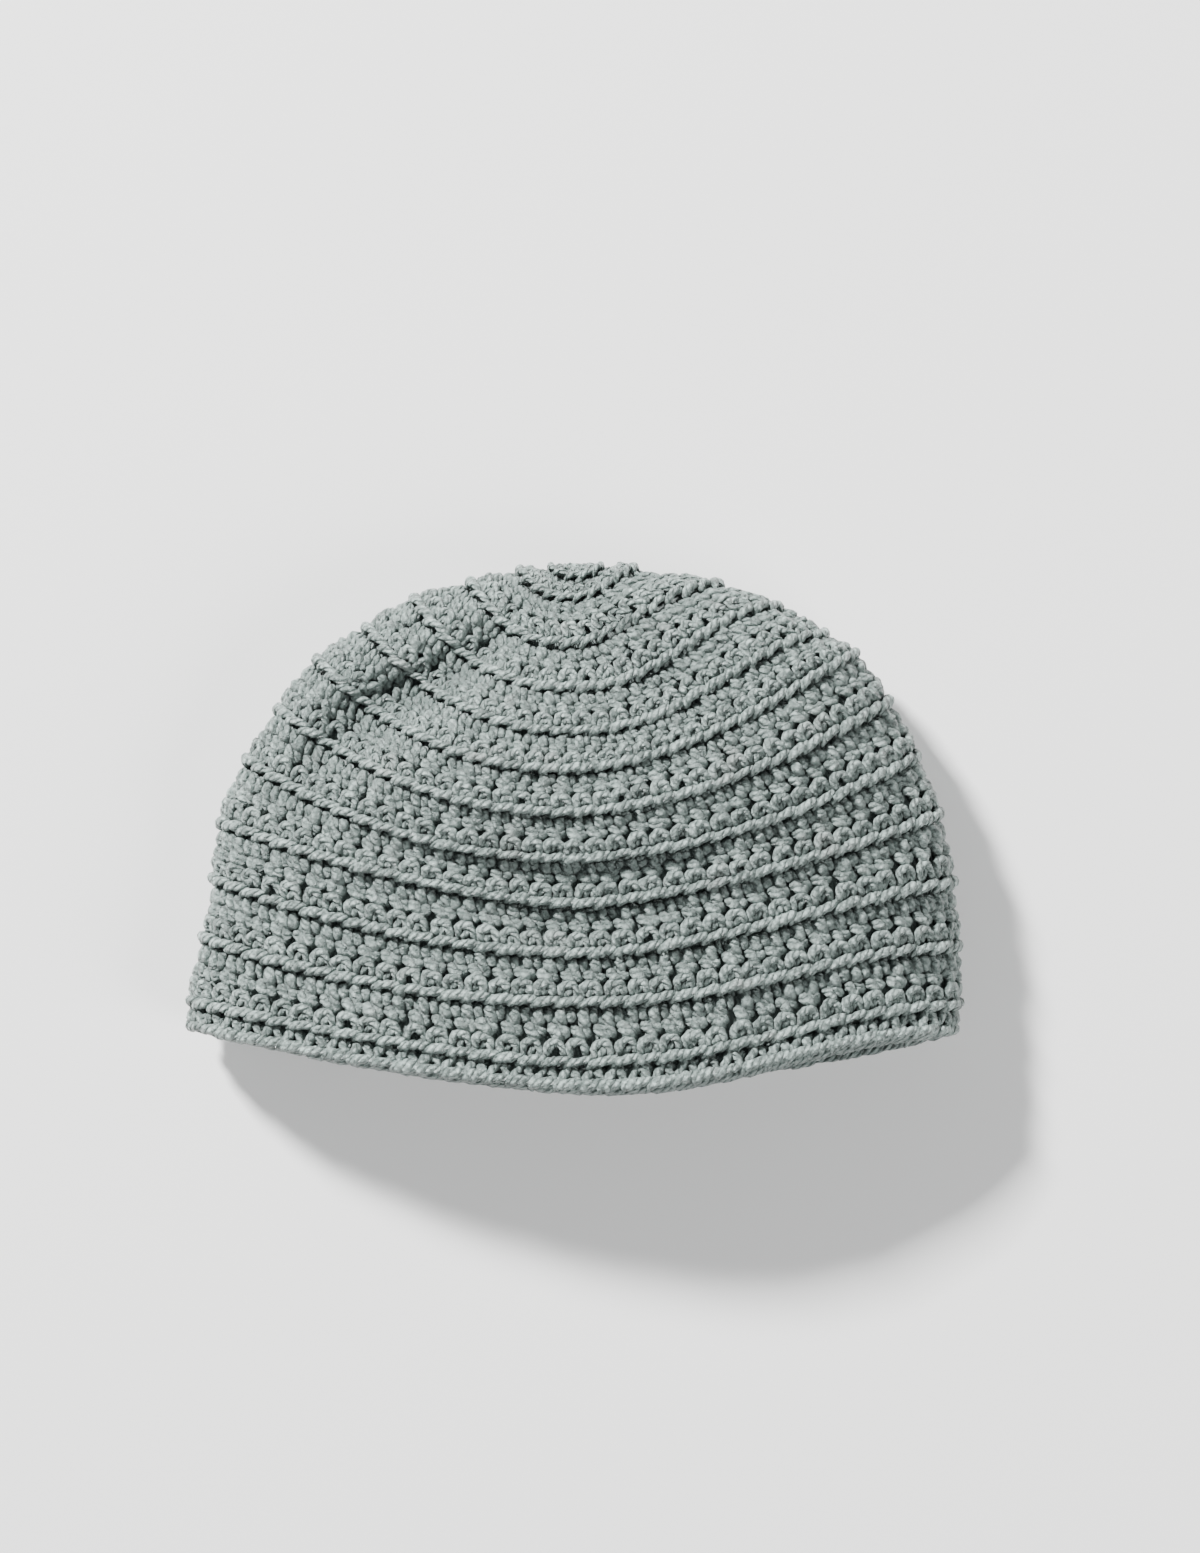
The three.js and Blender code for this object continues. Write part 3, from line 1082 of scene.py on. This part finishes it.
@dataclass(frozen=True)
class YarnFinish:
    """Plied cotton with a soft gloss."""

    name: str
    light_tone: Colour
    dark_tone: Colour
    fleck_tone: Colour
    # Painted shade: the shade tone below, and how much of it goes in the ply grooves and on deep
    # yarn.
    painted_shade_tone: Colour
    groove_shade_share: float = 0.52
    depth_shade_share: float = 0.88
    roughness: float = 0.40
    specular: float = 0.75
    sheen: float = 0.12
    sheen_roughness: float = 0.5
    bump_distance: float = 0.0008

    def build(self, groups: YarnGroups) -> Material:
        """Makes the material.

        Args:
            groups: The shader groups for plies, depth and tone.

        Returns:
            The new material.
        """
        material = bpy.data.materials.new(self.name)
        material.use_nodes = True
        kit = NodeKit(material.node_tree)
        twist = kit.add("ShaderNodeGroup", node_tree=groups.twist).outputs
        crevice_shade_and_tone = kit.add("ShaderNodeGroup", node_tree=groups.crevice_shade_and_tone).outputs
        tone = kit.add("ShaderNodeGroup", node_tree=groups.tone)
        kit.fill(tone, {
            "Light Tone": self.light_tone, "Dark Tone": self.dark_tone,
            "Fleck Tone": self.fleck_tone, "Painted Shade Tone": self.painted_shade_tone,
            "Groove": twist["Groove"], "Groove Shade Share": self.groove_shade_share,
            "Depth Shade": crevice_shade_and_tone["Depth Shade"], "Depth Shade Share": self.depth_shade_share,
            "Tone": crevice_shade_and_tone["Tone"]})
        bump = kit.add("ShaderNodeBump",
                       {"Distance": self.bump_distance, "Height": twist["Height"]})
        kit.fill(kit.tree.nodes["Principled BSDF"], {
            "Base Color": tone.outputs["Color"], "Normal": bump.outputs["Normal"],
            "Roughness": self.roughness, "Specular IOR Level": self.specular,
            "Sheen Weight": self.sheen, "Sheen Roughness": self.sheen_roughness})
        return material


@dataclass(frozen=True)
class FloorFinish:
    """Matt pale paper under the cap."""

    name: str = "pale_floor"
    tone: Colour = (0.93, 0.93, 0.92, 1.0)
    roughness: float = 0.85

    def build(self) -> Material:
        """Makes the material.

        Returns:
            The new material.
        """
        material = bpy.data.materials.new(self.name)
        material.use_nodes = True
        kit = NodeKit(material.node_tree)
        kit.fill(kit.tree.nodes["Principled BSDF"],
                 {"Base Color": self.tone, "Roughness": self.roughness})
        return material


@dataclass
class SkullCap:
    """The whole cap: its rounds of yarn and the fabric behind them."""

    form: CapForm = field(default_factory=CapForm)
    seed: int = SEED
    stitch_counts: tuple[int, ...] = (12, 24, 36, 48, 60) + 8 * (72,)
    node_ends: tuple[tuple[str, int], ...] = (
        ("crown_centre", 2), ("crown", 6), ("side_wall", 12), ("rim_edging", 13))
    first_seen_inside: int = 10
    # The last tone of the yarn and shade finishes is painted shade, in ply grooves and on deep
    # yarn; the inner face has none.
    yarn: YarnFinish = YarnFinish(
        "grey_green_cotton",
        light_tone=(0.405, 0.501, 0.467, 1.0), dark_tone=(0.066, 0.091, 0.082, 1.0),
        fleck_tone=(0.31, 0.327, 0.310, 1.0), painted_shade_tone=(0.112, 0.149, 0.137, 1.0))
    # The fabric's middle layer is a real layer, coloured as a darker copy of the yarn: painted
    # shade in the gaps.
    shade: YarnFinish = YarnFinish(
        "cotton_in_the_gaps_painted_shade",
        light_tone=(0.26, 0.312, 0.294, 1.0), dark_tone=(0.16, 0.200, 0.188, 1.0),
        fleck_tone=(0.22, 0.226, 0.218, 1.0), painted_shade_tone=(0.16, 0.200, 0.188, 1.0))
    inner: YarnFinish = YarnFinish(
        "cotton_inner_face",
        light_tone=(0.30, 0.355, 0.335, 1.0), dark_tone=(0.16, 0.198, 0.186, 1.0),
        fleck_tone=(0.30, 0.305, 0.292, 1.0), painted_shade_tone=(0.085, 0.110, 0.103, 1.0),
        groove_shade_share=0.0, depth_shade_share=0.0, bump_distance=0.0002)

    def node_of(self, number: int) -> str:
        """The CAD node that holds a round."""
        return next(name for name, end in self.node_ends if number <= end)

    def build(self) -> None:
        """Makes every piece, and says what it rides on and stands for."""
        maker = GroupMaker()
        groups = YarnGroups(maker.yarn_twist(), maker.crevice_shade_and_tone(), maker.fibre_tone())
        finishes = self.yarn, self.shade, self.inner
        yarn, shade, inner = (finish.build(groups) for finish in finishes)
        draws = np.random.default_rng(self.seed)
        for number, stitches in enumerate(self.stitch_counts, start=1):
            name = f"round_{number:02d}"
            relief = Relief.TALL if number < self.first_seen_inside else Relief.TALL_BOTH_FACES
            if number == self.form.last_round:
                name, relief = "rim_edging_yarn", Relief.SHORT
            piece = CrochetRound(name, number, stitches, relief).build(self.form, yarn, draws)
            self.settle_piece(piece, self.node_of(number))
        start = 0
        for node, end in self.node_ends:
            piece = FabricCore(f"{node}_fabric", start, end).build(self.form, shade, inner)
            self.settle_piece(piece, node)
            start = end

    def settle_piece(self, piece: Object, node: str) -> None:
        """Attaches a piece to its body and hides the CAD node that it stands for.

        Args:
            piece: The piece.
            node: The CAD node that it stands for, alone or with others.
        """
        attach(piece, "root")
        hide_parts(node)
        LOG.info("%s: %d faces, stands for %s", piece.name, len(piece.data.polygons), node)


@dataclass(frozen=True)
class AreaLight:
    """A square light that faces the cap, in metres and watts."""

    name: str
    place: tuple[float, float, float]
    size: float
    power: float

    def build(self) -> None:
        """Makes the light."""
        light = bpy.data.lights.new(self.name, "AREA")
        light.size = self.size
        light.energy = self.power
        lamp = put_in_scene(self.name, light)
        lamp.location = self.place
        lamp.rotation_euler = (-Vector(self.place)).to_track_quat("-Z", "Y").to_euler()


@dataclass
class Studio:
    """A pale floor, a key light at the upper left, a fill light at the right near the viewer, an
    even pale surround, and the camera straight above.
    """

    picture_width: int = 1200
    picture_height: int = 1553
    mm_per_pixel: float = 0.31
    cap_pixel: tuple[float, float] = (575.0, 825.5)
    outline_height: float = 20.0
    camera_distance: float = 2.2
    sensor: float = 36.0
    floor_half: float = 14.0
    surround_tone: Colour = (0.95, 0.97, 1.0, 1.0)
    surround_strength: float = 0.28
    lights: tuple[AreaLight, ...] = (AreaLight("key", (-1.90, 2.35, 1.95), 0.45, 490.0),
                                     AreaLight("fill", (2.3, -1.3, 1.9), 2.0, 95.0))

    def build(self) -> None:
        """Makes the floor, the lights and the camera."""
        self.make_floor()
        self.make_surround()
        for light in self.lights:
            light.build()
        self.make_camera()

    def make_floor(self) -> None:
        """Makes the floor."""
        half = self.floor_half
        mesh = bpy.data.meshes.new("floor")
        corners = [(-half, -half, 0), (half, -half, 0), (half, half, 0), (-half, half, 0)]
        mesh.from_pydata(corners, [], [(0, 1, 2, 3)])
        mesh.materials.append(FloorFinish().build())
        floor = put_in_scene("floor", mesh)

    def make_surround(self) -> None:
        """Makes the even pale light from all round."""
        world = bpy.data.worlds.new("pale_surround")
        world.use_nodes = True
        background = world.node_tree.nodes["Background"]
        background.inputs["Color"].default_value = self.surround_tone
        background.inputs["Strength"].default_value = self.surround_strength
        bpy.context.scene.world = world

    def make_camera(self) -> None:
        """Makes the camera, straight above, with the cap where the photograph has it."""
        height = self.picture_height * self.mm_per_pixel * MM
        distance = self.camera_distance
        data = bpy.data.cameras.new("camera")
        data.sensor_width = self.sensor
        data.lens = self.sensor * distance / height
        camera = put_in_scene("camera", data)
        aim_x = (self.picture_width / 2 - self.cap_pixel[0]) * self.mm_per_pixel * MM
        aim_y = (self.cap_pixel[1] - self.picture_height / 2) * self.mm_per_pixel * MM
        camera.location = (aim_x, aim_y, self.outline_height * MM + distance)
        bpy.context.scene.camera = camera


def main() -> None:
    """Builds the cap and its studio."""
    logging.basicConfig(level=logging.INFO, format="%(name)s %(message)s")
    Studio().build()
    SkullCap().build()


if __name__ == "__main__":
    main()
